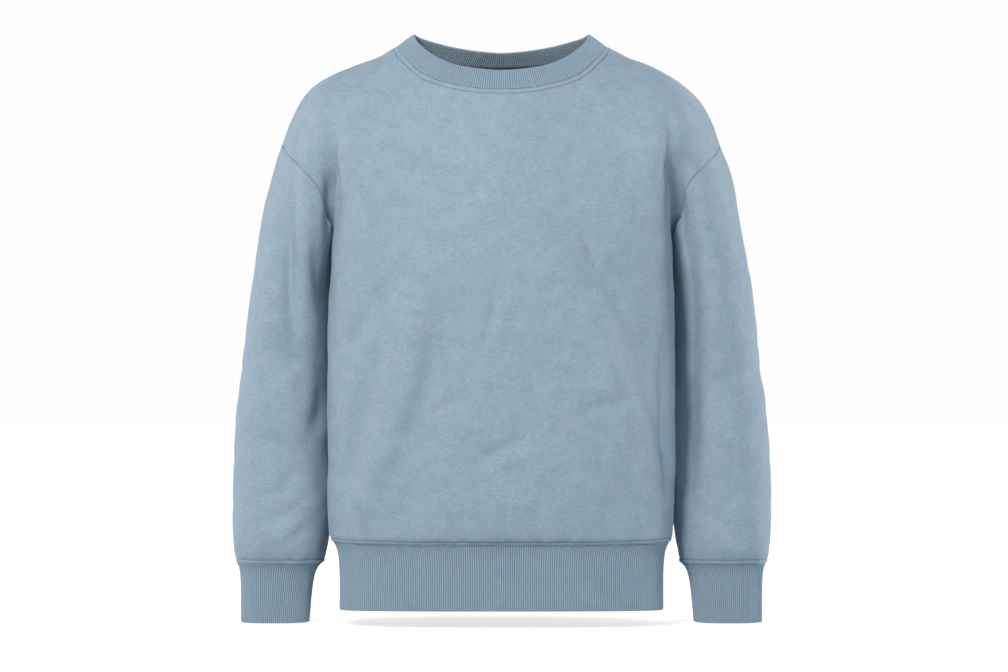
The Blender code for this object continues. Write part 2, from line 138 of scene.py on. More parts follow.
def rowsOf(bm, lowest=True):  # all rows of a sheet, and its squares by column and row
    chain, closed = firstRow(bm, lowest)
    rows, cells, used = [chain], [], set()
    count = len(chain) if closed else len(chain) - 1
    while True:
        above = [None] * len(chain)
        for i in range(count):
            a, b = chain[i], chain[(i + 1) % len(chain)]
            found = [f for f in bm.edges.get((a, b)).link_faces if f not in used]
            if not found:
                return rows, cells, closed
            used.add(found[0])
            cells.append((found[0], i, len(rows) - 1))
            loop = next(l for l in found[0].loops if l.vert is a)
            if loop.link_loop_next.vert is b:
                above[i] = loop.link_loop_prev.vert
                above[(i + 1) % len(chain)] = loop.link_loop_next.link_loop_next.vert
            else:
                above[i] = loop.link_loop_next.vert
                above[(i + 1) % len(chain)] = loop.link_loop_prev.link_loop_prev.vert
        chain = above
        rows.append(chain)


def splitRow(bm, rows, at, share):  # a new row between two, on the curve through its neighbours
    around = [rows[max(at - 1, 0)], rows[at], rows[at + 1], rows[min(at + 2, len(rows) - 1)]]
    spots = []
    for p0, p1, p2, p3 in zip(*[[v.co.copy() for v in row] for row in around]):
        if at == 0:
            p0 = 2 * p1 - p2
        if at + 2 >= len(rows):
            p3 = 2 * p2 - p1
        step = (p2 - p1).length
        before = (p2 - p0) * step / ((p1 - p0).length + step)
        after = (p3 - p1) * step / ((p3 - p2).length + step)
        s = share(step) if callable(share) else share
        spots.append(
            (1 + 2 * s) * (1 - s) ** 2 * p1
            + s * (1 - s) ** 2 * before
            + s * s * (3 - 2 * s) * p2
            + s * s * (s - 1) * after
        )
    cut = [bm.edges.get((a, b)) for a, b in zip(rows[at], rows[at + 1])]
    middles = [(e.verts[0].co + e.verts[1].co) / 2 for e in cut]
    made = bmesh.ops.subdivide_edges(bm, edges=cut, cuts=1, use_grid_fill=True)["geom_inner"]
    for v in [v for v in made if isinstance(v, bmesh.types.BMVert)]:
        nearest = min(range(len(middles)), key=lambda i: (middles[i] - v.co).length_squared)
        v.co = spots[nearest]


def layOut(bm, rows, cells, closed):  # the piece's own map, in metres of cloth
    grid = np.array([[v.co for v in row] for row in rows])
    if closed:
        grid = np.concatenate([grid, grid[:, :1]], axis=1)
    across = np.linalg.norm(np.diff(grid, axis=1), axis=2).mean(0)
    along = np.linalg.norm(np.diff(grid, axis=0), axis=2).mean(1)
    u, v = np.concatenate([[0], across.cumsum()]), np.concatenate([[0], along.cumsum()])
    laid = bm.loops.layers.uv["laid"]
    for face, i, j in cells:
        place = {rows[j][i]: (u[i], v[j]), rows[j + 1][i]: (u[i], v[j + 1])}
        n = (i + 1) % len(rows[j])
        place[rows[j][n]], place[rows[j + 1][n]] = (u[i + 1], v[j]), (u[i + 1], v[j + 1])
        for loop in face.loops:
            loop[laid].uv = place[loop.vert]


def coordsOf(mesh):
    co = np.empty(len(mesh.vertices) * 3)
    mesh.vertices.foreach_get("co", co)
    return co.reshape(-1, 3)


def setCoords(mesh, co):
    mesh.vertices.foreach_set("co", np.ascontiguousarray(co, dtype=float).ravel())
    mesh.update()


def rounded(obj, levels):  # the mesh as its live modifiers leave it
    for mod in obj.modifiers:
        mod.levels = mod.render_levels = levels
    graph = bpy.context.evaluated_depsgraph_get()
    graph.update()
    return bpy.data.meshes.new_from_object(
        obj.evaluated_get(graph), preserve_all_data_layers=True, depsgraph=graph
    )


def smoothOut(bm, points):
    for turn in range(cloth["smoothRounds"]):
        bmesh.ops.smooth_vert(
            bm, verts=points, factor=0.5, use_axis_x=True, use_axis_y=True, use_axis_z=True
        )


whole = bmesh.new()
whole.faces.layers.int.new("piece")
whole.loops.layers.uv.new("laid")
for index, node in enumerate(allPieces):
    sheet, lowest = sheetOf(node), "sleeve" in node or node == "collar"
    rows, cells, closed = rowsOf(sheet, lowest)
    for end, away in cloth["supportFrom"].get(node, ()):
        if end == "last":
            splitRow(sheet, rows, len(rows) - 2, lambda step, away=away: 1 - away / step)
        else:
            splitRow(sheet, rows, 0, lambda step, away=away: away / step)
        rows, cells, closed = rowsOf(sheet, lowest)
    if "panel" in node:
        for at in range(len(rows) - 2, -1, -1):
            if (rows[at][0].co - rows[at + 1][0].co).length > cloth["tallRow"]:
                splitRow(sheet, rows, at, 0.5)
                rows, cells, closed = rowsOf(sheet, lowest)
    layOut(sheet, rows, cells, closed)
    mark = sheet.faces.layers.int["piece"]
    for f in sheet.faces:
        f[mark] = index
    step = bpy.data.meshes.new("step")
    sheet.to_mesh(step)
    whole.from_mesh(step)
    bpy.data.meshes.remove(step)
    print(f"{node}: {len(rows)} rows of {len(rows[0])}")
bmesh.ops.remove_doubles(whole, verts=whole.verts, dist=cloth["seamGap"])
cageMesh = bpy.data.meshes.new("cage")
whole.to_mesh(cageMesh)
cage = bpy.data.objects.new("cage", cageMesh)
bpy.context.scene.collection.objects.link(cage)
cage.modifiers.new("rounding", "SUBSURF")
onFrame = coordsOf(cageMesh)
for turn in range(cloth["roundRounds"]):
    off = onFrame - coordsOf(rounded(cage, 1))[: len(onFrame)]
    setCoords(cageMesh, coordsOf(cageMesh) + off)
print("off the frame by", np.abs(onFrame - coordsOf(rounded(cage, 1))[: len(onFrame)]).max())
skin = rounded(cage, cloth["roundLevels"])
bpy.data.objects.remove(cage)

bm = bmesh.new()
bm.from_mesh(skin)
mark = bm.faces.layers.int["piece"]
meetings = [v.co.copy() for v in bm.verts if len({f[mark] for f in v.link_faces}) > 2]
close = [v for v in bm.verts if any((v.co - m).length < cloth["meetingRadius"] for m in meetings)]
smoothOut(bm, close)
bm.normal_update()
folded = [f for f in bm.faces if any(f.normal.dot(v.normal) < cloth["foldedBelow"] for v in f.verts)]
reach = {v for f in folded for corner in f.verts for side in corner.link_faces for v in side.verts}
reach = [v for v in bm.verts if v in reach]
smoothOut(bm, reach)
bm.to_mesh(skin)
bm.free()
print(f"skin: {len(skin.polygons)} squares, smoothed at {len(meetings)} points where seams meet")
print(f"{len(folded)} squares folded over, {len(reach)} points smoothed there")


def softNoise(at, cell, seed):  # uneven, from -1 to 1, the same every time
    lattice = np.random.default_rng(seed).uniform(-1, 1, (32, 32, 32))
    spot = at / cell
    low = np.floor(spot).astype(int)
    part = spot - low
    part = part * part * (3 - 2 * part)
    total = np.zeros(len(at))
    for corner in np.ndindex(2, 2, 2):
        weight = np.prod(np.where(corner, part, 1 - part), axis=1)
        total += weight * lattice[tuple(((low + corner) % 32).T)]
    return total


def facesOf(mesh, layer):
    value = np.empty(len(mesh.polygons), int)
    mesh.attributes[layer].data.foreach_get("value", value)
    return value


def seamLines(mesh):  # points along each kind of seam, close together
    piece, owners = facesOf(mesh, "piece"), {}
    for poly in mesh.polygons:
        for key in poly.edge_keys:
            owners.setdefault(key, []).append(piece[poly.index])
    co, found = coordsOf(mesh), {"rib": [], "armhole": [], "side": [], "shoulder": []}
    for (a, b), sides in owners.items():
        if len(sides) < 2 or sides[0] == sides[1]:
            continue
        names = [allPieces[i] for i in sides]
        if any(name in ribNames for name in names):
            kind = "rib"
        elif any("sleeve" in name for name in names):
            kind = "armhole"
        else:
            kind = "shoulder" if co[a][2] > seams["underarm"] else "side"
        found[kind] += [co[a] + (co[b] - co[a]) * t / 4 for t in range(4)]
    return {kind: np.array(spots) for kind, spots in found.items()}


def awayFrom(spots, co, within):  # how far each point of the cloth is from a seam
    tree = KDTree(len(spots))
    for i, spot in enumerate(spots):
        tree.insert(spot, i)
    tree.balance()
    near = np.full(len(co), 1.0)
    lo, hi = spots.min(0) - within, spots.max(0) + within
    for i in np.nonzero(np.all((co > lo) & (co < hi), axis=1))[0]:
        near[i] = tree.find(co[i])[2]
    return near


underarm = {  # the cloth is drawn in at the underarms, and the sleeves hang close there
    "heights": (-0.125, -0.158, -0.188, -0.225, -0.262, -0.300),
    "drawnIn": (0.0, 0.55, 1.0, 0.9, 0.45, 0.0),  # share of the draw at those heights
    "leftDraw": 0.0070,  # how far the cloth there is drawn in over the sleeve
    "rightDraw": 0.0100,
    "centre": 0.203,
    "halfWidth": 0.030,
    "behind": 0.015,  # nothing is drawn in behind this depth
    "fadeDepth": 0.05,
    "sleeveHeights": (-0.215, -0.260, -0.520, -0.580),
    "sleeveShares": (0, 1, 1, 0),
    "sleeveMiddle": 0.022,
    "sleeveHalf": 0.034,
    "innerSide": 0.235,
    "sleeveDraw": 0.0035,  # how far the sleeve's inner side is brought up to the body
}
co = coordsOf(skin)
share = np.interp(-co[:, 2], [-z for z in underarm["heights"]], underarm["drawnIn"])
draw = np.where(co[:, 0] > 0, underarm["leftDraw"], underarm["rightDraw"])
share *= np.exp(-(((np.abs(co[:, 0]) - underarm["centre"]) / underarm["halfWidth"]) ** 2))
share *= np.clip((underarm["behind"] - co[:, 1]) / underarm["fadeDepth"], 0, 1)
co[:, 0] -= np.sign(co[:, 0]) * draw * share
skinPiece, sleeveShare = facesOf(skin, "piece"), np.zeros(len(co))
for poly in skin.polygons:
    if "sleeve" in allPieces[skinPiece[poly.index]]:
        sleeveShare[list(poly.vertices)] = 1
heights = [-z for z in underarm["sleeveHeights"]]
sleeveShare *= np.interp(-co[:, 2], heights, underarm["sleeveShares"])
sleeveShare *= np.exp(-(((co[:, 1] - underarm["sleeveMiddle"]) / underarm["sleeveHalf"]) ** 2))
sleeveShare *= np.abs(co[:, 0]) < underarm["innerSide"]
co[:, 0] -= np.sign(co[:, 0]) * underarm["sleeveDraw"] * sleeveShare
setCoords(skin, co)
normals = np.empty(len(skin.vertices) * 3)
skin.vertices.foreach_get("normal", normals)
normals = normals.reshape(-1, 3)

seams = {
    "underarm": -0.2,  # a panel seam above this is a shoulder seam, below it a side seam
    "within": 0.05,  # a seam is felt no further than this
    "profiles": {  # distances from the seam, and heights of the cloth there
        "rib": (
            (0, 0.0012, 0.0030, 0.0047, 0.0060, 0.0073, 0.0110, 0.0180),
            (-0.0005, 0.0002, 0.0005, 0.0004, -0.0006, 0.0002, 0.0002, 0),
        ),
        "armhole": ((0, 0.0018, 0.0045, 0.0090), (-0.0004, 0.0001, 0.0003, 0)),
        "shoulder": ((0, 0.0018, 0.0045, 0.0090), (-0.0002, 0.0, 0.0001, 0)),
        "side": ((0, 0.0025, 0.0060, 0.0100), (-0.0012, 0.0000, 0.0003, 0)),
    },
    "pucker": 0.0011,  # gathering at the ribs
    "puckerSize": 0.011,
    "puckerStretch": (1, 1, 0.25),  # longer up and down
    "puckerLength": 0.038,
    "puckerFrom": 0.006,
    "puckerBelow": -0.3,  # none round the neck
    "unevenness": 0.0018,  # slow rise and fall of the cloth all over
    "unevenSize": 0.055,
    "fineUnevenness": 0.4,  # share of it that is finer
    "fineSize": 0.021,
    "evenNear": 0.02,  # it fades out this close to a rib
    "seeds": (5, 7, 9),  # one each for the gathering and the two sizes of unevenness
    # painted shade: how far the colour is darkened along the stitching and in each seam, and how
    # wide that is
    "stitchShade": (0.65, 0.0060, 0.0009),
    "ribSeamShade": (0.25, 0.0010),
    "otherSeamShade": {"armhole": 0.32, "shoulder": 0.10, "side": 0.3},
    "otherSeamShadeWidth": 0.0013,
}
away = {kind: awayFrom(spots, co, seams["within"]) for kind, spots in seamLines(skin).items()}
lift = np.zeros(len(co))
grooves = np.array([np.interp(away[kind], *profile) for kind, profile in seams["profiles"].items()])
lift += np.where(np.abs(grooves.min(0)) > grooves.max(0), grooves.min(0), grooves.max(0))
gather = np.clip(1 - away["rib"] / seams["puckerLength"], 0, 1) ** 1.5
gather *= np.clip(away["rib"] / seams["puckerFrom"], 0, 1) * seams["pucker"]
gather *= softNoise(co * seams["puckerStretch"], seams["puckerSize"], seams["seeds"][0])
lift += gather * (co[:, 2] < seams["puckerBelow"])
uneven = seams["unevenness"] * np.clip(away["rib"] / seams["evenNear"], 0, 1)
lift += uneven * softNoise(co, seams["unevenSize"], seams["seeds"][1])
lift += seams["fineUnevenness"] * uneven * softNoise(co, seams["fineSize"], seams["seeds"][2])

# A crease is a soft trough, or with a negative depth a ridge: points as (x, z), depth, half width.
# Each lies on the side it is listed under, and fades at both ends.
creases = {
    "front": [
        (((-0.118, -0.263), (-0.143, -0.304), (-0.174, -0.351), (-0.19, -0.379)), 0.0046, 0.008),
        (((-0.125, -0.293), (-0.148, -0.328), (-0.174, -0.37)), 0.0024, 0.005),
        (
            ((-0.092, -0.272), (-0.097, -0.342), (-0.109, -0.406),
             (-0.13, -0.469), (-0.162, -0.539)),
            -0.009, 0.017,
        ),
        (((-0.139, -0.342), (-0.16, -0.417), (-0.176, -0.487), (-0.188, -0.545)), 0.01, 0.013),
        (
            ((0.106, -0.258), (0.136, -0.314), (0.16, -0.367),
             (0.182, -0.439), (0.195, -0.49), (0.201, -0.539)),
            0.0065, 0.009,
        ),
        (
            ((0.137, -0.278), (0.172, -0.347), (0.195, -0.417),
             (0.209, -0.481), (0.216, -0.562)),
            0.011, 0.024,
        ),
        (((0.08, -0.272), (0.117, -0.353), (0.147, -0.423), (0.17, -0.504)), -0.0042, 0.012),
        (((-0.004, -0.302), (-0.016, -0.342), (-0.021, -0.374)), 0.0026, 0.006),
        (((0.011, -0.304), (0.002, -0.336), (-0.006, -0.367)), -0.0018, 0.007),
        (((-0.085, -0.442), (-0.062, -0.428), (-0.037, -0.423)), 0.0028, 0.0055),
        (((-0.037, -0.5), (-0.002, -0.48), (0.04, -0.463)), 0.0024, 0.0065),
        (((-0.016, -0.509), (0.015, -0.494), (0.049, -0.483)), -0.0018, 0.007),
        (((0.08, -0.444), (0.115, -0.432), (0.149, -0.423)), 0.0022, 0.0065),
        (((0.091, -0.223), (0.112, -0.257)), 0.0036, 0.008),
        (((0.119, -0.225), (0.161, -0.206)), -0.0007, 0.006),
        (((-0.154, -0.181), (-0.163, -0.211)), 0.0008, 0.007),
        (((-0.037, -0.307), (-0.046, -0.342)), 0.0006, 0.008),
        (((0.051, -0.342), (0.063, -0.39)), 0.0008, 0.009),
        (((0.105, -0.5), (0.163, -0.542)), 0.0009, 0.009),
        (((-0.12, -0.537), (-0.106, -0.576)), 0.0009, 0.009),
        (((-0.039, -0.543), (-0.032, -0.579)), 0.0007, 0.008),
        (((0.045, -0.539), (0.039, -0.578)), 0.0008, 0.008),
        (((0.127, -0.539), (0.119, -0.576)), 0.0008, 0.008),
        (((0.161, -0.307), (0.179, -0.342)), 0.0007, 0.008),
        (((-0.198, -0.102), (-0.2, -0.137), (-0.201, -0.183), (-0.203, -0.236)), 0.0095, 0.008),
        (((0.2, -0.088), (0.202, -0.13), (0.205, -0.189), (0.206, -0.238)), 0.01, 0.009),
        (((-0.251, -0.149), (-0.253, -0.235), (-0.25, -0.306), (-0.245, -0.377)), 0.011, 0.011),
        (((-0.277, -0.164), (-0.281, -0.247), (-0.277, -0.33)), -0.0025, 0.01),
        (((-0.232, -0.146), (-0.231, -0.217), (-0.227, -0.273)), -0.003, 0.008),
        (((-0.226, -0.237), (-0.217, -0.282), (-0.206, -0.33)), 0.005, 0.008),
        (((-0.239, -0.261), (-0.23, -0.306), (-0.22, -0.351)), -0.002, 0.01),
        (((-0.215, -0.398), (-0.213, -0.434), (-0.23, -0.474)), 0.006, 0.01),
        (((-0.268, -0.359), (-0.24, -0.391), (-0.219, -0.415)), 0.0032, 0.008),
        (((-0.268, -0.406), (-0.239, -0.429)), -0.0024, 0.01),
        (((-0.298, -0.463), (-0.263, -0.48), (-0.23, -0.491)), 0.0024, 0.008),
        (((-0.291, -0.548), (-0.263, -0.531), (-0.239, -0.503)), 0.0024, 0.0075),
        (((-0.284, -0.574), (-0.253, -0.557), (-0.227, -0.538)), 0.0024, 0.0065),
        (((-0.263, -0.603), (-0.225, -0.569)), 0.0026, 0.007),
        (
            ((0.215, -0.152), (0.22, -0.259), (0.22, -0.389),
             (0.215, -0.507), (0.209, -0.578)),
            0.0105, 0.018,
        ),
        (((0.278, -0.181), (0.288, -0.252)), 0.0012, 0.009),
        (((0.252, -0.252), (0.262, -0.344)), -0.0012, 0.012),
        (((0.233, -0.41), (0.262, -0.4), (0.293, -0.39)), 0.0022, 0.008),
        (((0.233, -0.493), (0.265, -0.483), (0.297, -0.486)), 0.002, 0.008),
        (((0.227, -0.548), (0.253, -0.567), (0.288, -0.576)), 0.0024, 0.007),
        (((0.24, -0.593), (0.281, -0.584)), 0.001, 0.006),
    ],
    "back": [
        (((-0.15, -0.19), (-0.165, -0.3), (-0.18, -0.42)), 0.0035, 0.012),
        (((0.142, -0.2), (0.16, -0.33), (0.182, -0.47)), 0.0042, 0.012),
        (((-0.1, -0.33), (-0.12, -0.44), (-0.15, -0.545)), -0.0028, 0.015),
        (((0.09, -0.3), (0.12, -0.42), (0.15, -0.54)), -0.0026, 0.016),
        (((-0.02, -0.1), (0.01, -0.112), (0.04, -0.1)), 0.0012, 0.009),
        (((-0.06, -0.16), (0, -0.172), (0.05, -0.16)), 0.001, 0.011),
        (((-0.04, -0.33), (-0.02, -0.39), (-0.026, -0.45)), 0.0012, 0.008),
        (((0.03, -0.42), (0.06, -0.408), (0.092, -0.4)), 0.0012, 0.006),
        (((-0.09, -0.47), (-0.05, -0.462), (-0.02, -0.448)), 0.0012, 0.006),
        (((0.01, -0.52), (0.05, -0.512), (0.085, -0.498)), 0.001, 0.007),
        (((-0.13, -0.56), (-0.122, -0.588)), 0.0009, 0.009),
        (((0.02, -0.555), (0.016, -0.59)), 0.0008, 0.009),
        (((0.11, -0.55), (0.118, -0.588)), 0.0009, 0.009),
        (((-0.205, -0.11), (-0.203, -0.15), (-0.205, -0.21)), 0.0055, 0.008),
        (((0.205, -0.11), (0.203, -0.15), (0.206, -0.21)), 0.0055, 0.008),
        (((-0.285, -0.23), (-0.262, -0.262), (-0.235, -0.285)), 0.0022, 0.009),
        (((0.285, -0.24), (0.262, -0.27), (0.235, -0.292)), 0.0022, 0.009),
        (((-0.3, -0.35), (-0.27, -0.372), (-0.24, -0.38)), 0.0028, 0.009),
        (((-0.3, -0.392), (-0.268, -0.402), (-0.238, -0.398)), 0.0022, 0.008),
        (((0.3, -0.365), (0.27, -0.385), (0.24, -0.39)), 0.0028, 0.009),
        (((0.3, -0.408), (0.266, -0.415), (0.24, -0.41)), 0.002, 0.008),
        (((-0.305, -0.5), (-0.275, -0.52), (-0.24, -0.53)), 0.0016, 0.008),
        (((0.305, -0.505), (0.275, -0.525), (0.242, -0.532)), 0.0016, 0.008),
    ],
    "outer": [  # the outer sides of both sleeves, points as (y, z)
        (((-0.03, -0.235), (0.005, -0.262), (0.045, -0.28)), 0.001, 0.009),
        (((-0.025, -0.33), (0.01, -0.352), (0.05, -0.36)), 0.0014, 0.009),
        (((-0.028, -0.385), (0.012, -0.392), (0.055, -0.385)), 0.0012, 0.009),
        (((-0.025, -0.47), (0.01, -0.492), (0.05, -0.505)), 0.0009, 0.009),
        (((-0.02, -0.54), (0.012, -0.552), (0.045, -0.548)), 0.0007, 0.008),
        (((-0.005, -0.19), (-0.01, -0.26), (-0.002, -0.33)), -0.0007, 0.012),
    ],
}
creaseShape = {
    "facingGain": 2.2,  # a crease fades where the cloth turns away from its side
    "facingFrom": 0.2,
    "ends": 0.06,
    "endPower": 0.7,
    "curveSteps": 6,
    "spread": 3,  # half widths, past which a crease is not felt
    "outerFrom": 0.25,  # the sleeves' outer sides are beyond this
}


def alongCrease(points, x, z):  # distance from a crease, and how far along it
    points = np.array(points)
    lengths = np.linalg.norm(np.diff(points, axis=0), axis=1)
    starts = np.concatenate([[0], lengths.cumsum()])
    best, place = np.full(len(x), 1e9), np.zeros(len(x))
    for a, b, start, length in zip(points[:-1], points[1:], starts, lengths):
        run = np.clip(((x - a[0]) * (b - a)[0] + (z - a[1]) * (b - a)[1]) / length**2, 0, 1)
        d = np.hypot(x - a[0] - run * (b - a)[0], z - a[1] - run * (b - a)[1])
        place = np.where(d < best, (start + run * length) / starts[-1], place)
        best = np.minimum(d, best)
    return best, place


def smoothCurve(points, count):  # a curve through a crease's points
    points = np.array(points, float)
    ghost = np.concatenate([[2 * points[0] - points[1]], points, [2 * points[-1] - points[-2]]])
    out = []
    for i in range(len(points) - 1):
        p0, p1, p2, p3 = ghost[i : i + 4]
        square = 2 * p0 - 5 * p1 + 4 * p2 - p3
        cube = 3 * p1 - p0 - 3 * p2 + p3
        for s in np.linspace(0, 1, count, endpoint=i == len(points) - 2):
            out.append(0.5 * (2 * p1 + (p2 - p0) * s + square * s * s + cube * s**3))
    return np.array(out)


for face, axis, sign in (("front", 1, -1), ("back", 1, 1), ("outer", 0, 0)):
    facing = np.abs(normals[:, 0]) if face == "outer" else normals[:, 1] * sign
    facing = np.clip(facing * creaseShape["facingGain"] - creaseShape["facingFrom"], 0, 1)
    if face == "outer":
        facing *= np.abs(co[:, 0]) > creaseShape["outerFrom"]
    flat = co[:, [1 - axis, 2]]
    for points, depth, half in creases[face]:
        curve = smoothCurve(points, creaseShape["curveSteps"])
        spread = creaseShape["spread"] * half
        lo, hi = curve.min(0) - spread, curve.max(0) + spread
        near = (facing > 0) & np.all((flat > lo) & (flat < hi), axis=1)
        d, place = alongCrease(curve, *flat[near].T)
        place = np.clip(place, creaseShape["ends"], 1 - creaseShape["ends"])
        fade = np.sin(np.pi * place) ** creaseShape["endPower"]
        lift[near] -= depth * fade * facing[near] * np.exp(-((d / half) ** 2))
shaped = co + normals * lift[:, None]
plain = skin.copy()  # the skin without its seams and creases, for the ribs
setCoords(skin, shaped)
# painted shade along the stitching line and in the seams, kept per point and multiplied into the
# fleece colour
dark, stitchAt, stitchWide = seams["stitchShade"]
paintedSeamShade = dark * np.exp(-(((away["rib"] - stitchAt) / stitchWide) ** 2))
dark, ribWide = seams["ribSeamShade"]
paintedSeamShade += dark * np.exp(-((away["rib"] / ribWide) ** 2))
for kind, dark in seams["otherSeamShade"].items():
    paintedSeamShade = np.maximum(paintedSeamShade, dark * np.exp(-((away[kind] / seams["otherSeamShadeWidth"]) ** 2)))
skin.attributes.new("paintedShade", "FLOAT", "POINT").data.foreach_set("value", paintedSeamShade)
print("seams and creases laid in")

looks = {  # light and dark threads, the colour that painted shade in seams, stitching and rib grooves darkens towards, and columns and rows to the metre
    "brushedFleece": {
        "light": (0.366, 0.456, 0.522),
        "dark": (0.262, 0.341, 0.404),
        "paintedShadeColour": (0.48, 0.53, 0.57),
        "wales": 160.0,
        "courses": 130.0,
        "nap": 0.30,
    },
    "ribKnit": {
        "light": (0.364, 0.460, 0.532),
        "dark": (0.303, 0.390, 0.458),
        "paintedShadeColour": (0.44, 0.51, 0.57),
        "wales": 60.0,
        "courses": 130.0,
        "nap": 0.22,
    },
    "sewingThread": {
        "light": (0.180, 0.245, 0.300),
        "dark": (0.180, 0.245, 0.300),
        "paintedShadeColour": (1, 1, 1),
        "wales": 900.0,
        "courses": 900.0,
        "nap": 0.1,
    },
}
yarn = {  # what all three have in common
    "roughness": 0.92,
    "gloss": 0.22,
    "napSpread": 0.45,
    "napColour": (0.82, 0.90, 1.0, 1.0),
    "heather": {"Scale": 520.0, "Detail": 3.0, "Roughness": 0.7},
    "heatherShare": 0.30,
    "blotch": {"Scale": 55.0, "Detail": 4.0, "Roughness": 0.65},
    "blotchShare": 0.30,
    "dashes": {"Scale": 1.0, "Detail": 2.0, "Roughness": 0.6},  # short, lying across
    "dashStretch": (190.0, 190.0, 680.0),
    "dashShare": 0.40,
    "darkAt": 0.37,
    "lightAt": 0.63,
    "waleWander": 0.6,
    "courseWander": 1.2,
    "waleHeight": 0.5,
    "courseHeight": 0.35,
    "fuzzHeight": 0.9,
    "bump": {"Strength": 0.35, "Distance": 0.00035},
}


def clothMaterial(name):  # knitted cloth with a brushed nap
    look = looks[name]
    mat = bpy.data.materials.new(name)
    mat.use_nodes = True
    tree = mat.node_tree
    shader = tree.nodes["Principled BSDF"]
    shader.inputs["Roughness"].default_value = yarn["roughness"]
    shader.inputs["Specular IOR Level"].default_value = yarn["gloss"]
    shader.inputs["Sheen Weight"].default_value = look["nap"]
    shader.inputs["Sheen Roughness"].default_value = yarn["napSpread"]
    shader.inputs["Sheen Tint"].default_value = yarn["napColour"]
    join = tree.links.new

    def node(kind, **values):
        made = tree.nodes.new("ShaderNode" + kind)
        for key, value in values.items():
            if key in made.inputs:
                made.inputs[key].default_value = value
            else:
                setattr(made, key, value)
        return made

    def blend(kind, a, b):
        made = node("Math", operation=kind)
        join(a, made.inputs[0])
        if isinstance(b, float):
            made.inputs[1].default_value = b
        else:
            join(b, made.inputs[1])
        return made.outputs[0]

    def noise(vector, values, share):
        made = node("TexNoise", **values)
        join(vector, made.inputs["Vector"])
        return made.outputs["Fac"], blend("MULTIPLY", made.outputs["Fac"], share)

    def bands(direction, wander):  # the stitches of the knit, on the laid-out cloth
        made = node("TexWave", wave_type="BANDS", bands_direction=direction, wave_profile="SIN")
        made.inputs["Scale"].default_value = 1.0
        made.inputs["Distortion"].default_value = wander
        join(stretch.outputs["Vector"], made.inputs["Vector"])
        return made.outputs["Fac"]

    spots = node("TexCoord")
    laid = node("UVMap", uv_map="laid")
    squash = node("Mapping", Scale=yarn["dashStretch"])
    join(spots.outputs["Object"], squash.inputs["Vector"])
    stretch = node("Mapping", Scale=(look["wales"], look["courses"], 1.0))
    join(laid.outputs["UV"], stretch.inputs["Vector"])
    streak = noise(squash.outputs["Vector"], yarn["dashes"], yarn["dashShare"])[1]
    fuzz, speck = noise(spots.outputs["Object"], yarn["heather"], yarn["heatherShare"])
    slow = noise(spots.outputs["Object"], yarn["blotch"], yarn["blotchShare"])[1]
    mixed = blend("ADD", blend("ADD", streak, speck), slow)
    ramp = node("ValToRGB")
    darkEnd, lightEnd = ramp.color_ramp.elements
    darkEnd.position, darkEnd.color = yarn["darkAt"], (*look["dark"], 1)
    lightEnd.position, lightEnd.color = yarn["lightAt"], (*look["light"], 1)
    join(mixed, ramp.inputs["Fac"])
    # painted shade: the colour is multiplied towards the look's shade colour where the per-point
    # shade attribute is high
    shade = node("Attribute", attribute_name="paintedShade")
    darken = node("Mix", data_type="RGBA", blend_type="MULTIPLY")
    join(shade.outputs["Fac"], darken.inputs["Factor"])
    join(ramp.outputs["Color"], darken.inputs[6])
    darken.inputs[7].default_value = (*look["paintedShadeColour"], 1)
    join(darken.outputs[2], shader.inputs["Base Color"])
    columns = blend("MULTIPLY", bands("X", yarn["waleWander"]), yarn["waleHeight"])
    courses = blend("MULTIPLY", bands("Y", yarn["courseWander"]), yarn["courseHeight"])
    knit = blend("ADD", columns, courses)
    rough = blend("ADD", knit, blend("MULTIPLY", fuzz, yarn["fuzzHeight"]))
    bump = node("Bump", **yarn["bump"])
    join(rough, bump.inputs["Height"])
    join(bump.outputs["Normal"], shader.inputs["Normal"])
    return mat


fleeceMaterial = clothMaterial("brushedFleece")
ribMaterial = clothMaterial("ribKnit")
threadMaterial = clothMaterial("sewingThread")
print("materials mixed")


def objectFrom(name, bm, material, node=None):  # a finished piece, riding on the frame
    mesh = bpy.data.meshes.new(name)
    bm.to_mesh(mesh)
    bm.free()
    obj = bpy.data.objects.new(name, mesh)
    bpy.context.scene.collection.objects.link(obj)
    mesh.materials.clear()
    mesh.materials.append(material)
    mesh.polygons.foreach_set("use_smooth", [True] * len(mesh.polygons))
    if node:
        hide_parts(node)
    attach(obj, "root")
    return obj


def pieceOf(mesh, node):  # one piece of the skin by itself
    bm = bmesh.new()
    bm.from_mesh(mesh)
    mark, mine = bm.faces.layers.int["piece"], allPieces.index(node)
    bmesh.ops.delete(bm, geom=[f for f in bm.faces if f[mark] != mine], context="FACES")
    return bm


cuts = {  # what shows of each fleece piece, as it was cut
    "frontPanel": ((0.560, 0.610), 0.335),
    "backPanel": ((0.540, 0.620), 0.292),
    "leftSleeve": ((0.420, 0.530), 0.177),
    "rightSleeve": ((0.420, 0.530), 0.177),
}
for node, name in fleeceNames.items():
    obj = objectFrom(name, pieceOf(skin, node), fleeceMaterial, node)
    wall = obj.modifiers.new("wall", "SOLIDIFY")
    wall.thickness, wall.offset, wall.thickness_clamp = cloth["wall"], -1.0, cloth["wallClamp"]
    flat, area = cuts[name]
print("fleece pieces cut")

